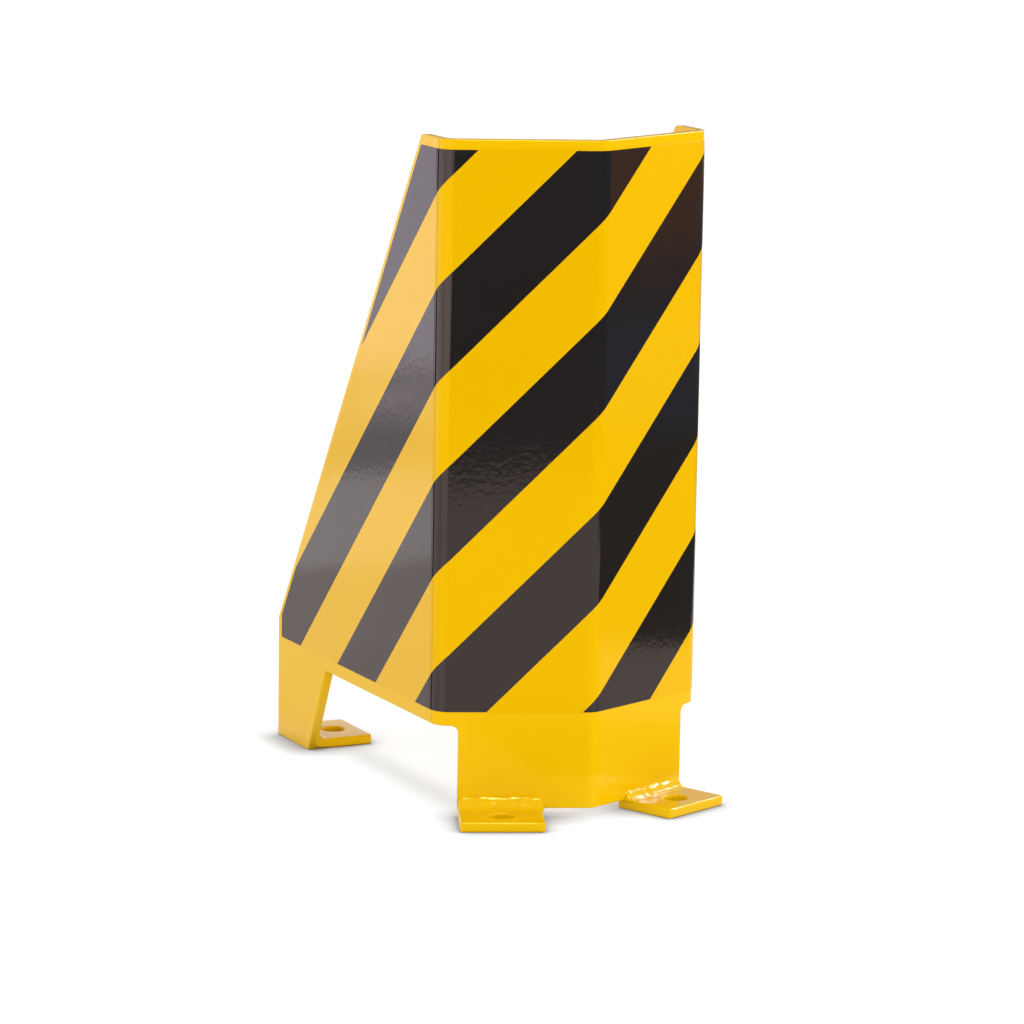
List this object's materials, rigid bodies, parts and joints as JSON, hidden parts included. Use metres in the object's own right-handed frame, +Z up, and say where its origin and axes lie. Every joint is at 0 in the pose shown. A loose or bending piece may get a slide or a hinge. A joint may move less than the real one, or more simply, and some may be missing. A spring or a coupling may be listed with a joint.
{
  "type": "corner impact guard",
  "caption": "Folded steel corner guard that wraps a rack upright, with striped film, open-backed sloping wings and drilled foot plates for floor anchors.",
  "frame": {"origin": "centre of the bounding box in plan, on the floor under the foot plates", "axes": "+Z up, -Y towards the nose ridge that faces the traffic, +Y towards the open back, +X to the right as seen from the nose"},
  "size_m": [0.1728, 0.2892, 0.4],
  "materials": {
    "yellow_coat": "gloss",
    "film_yellow": "gloss",
    "film_black": "gloss"
  },
  "bodies": {
    "root": {"guard_sheet": "yellow_coat", "front_plate_left": "yellow_coat", "front_plate_right": "yellow_coat", "rear_plate_left": "yellow_coat", "rear_plate_right": "yellow_coat", "front_weld_left": "yellow_coat", "front_weld_right": "yellow_coat", "rear_weld_left": "yellow_coat", "rear_weld_right": "yellow_coat", "hazard_film": "film_yellow", "black_bands": "film_black"}
  },
  "joints": []
}
